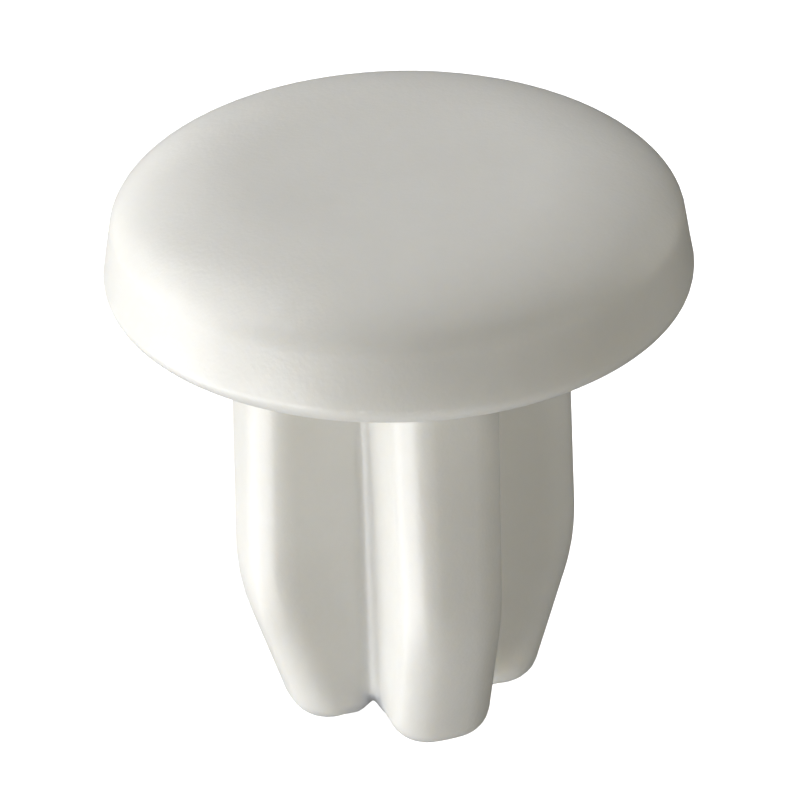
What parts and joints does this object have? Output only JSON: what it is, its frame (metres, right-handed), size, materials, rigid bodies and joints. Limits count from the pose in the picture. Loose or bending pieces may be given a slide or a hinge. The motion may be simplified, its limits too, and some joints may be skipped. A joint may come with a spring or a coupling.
{
  "type": "push-in hole plug",
  "caption": "Push-in plug that closes a round hole: a low, softly crowned button head on a stem of thick crossed ribs, which grip the hole and taper to lead in at the tip.",
  "frame": {"origin": "on the plug's axis, at the flat underside of the head, which rests on the panel round the hole", "axes": "+Z along the plug's axis, out of the hole through the top of the head; the stem's ribs lie along X and Y"},
  "size_m": [0.014, 0.014, 0.0144],
  "materials": {
    "white_nylon": "semi-gloss, as moulded"
  },
  "bodies": {
    "root": {"hole_plug": "white_nylon"}
  },
  "joints": []
}
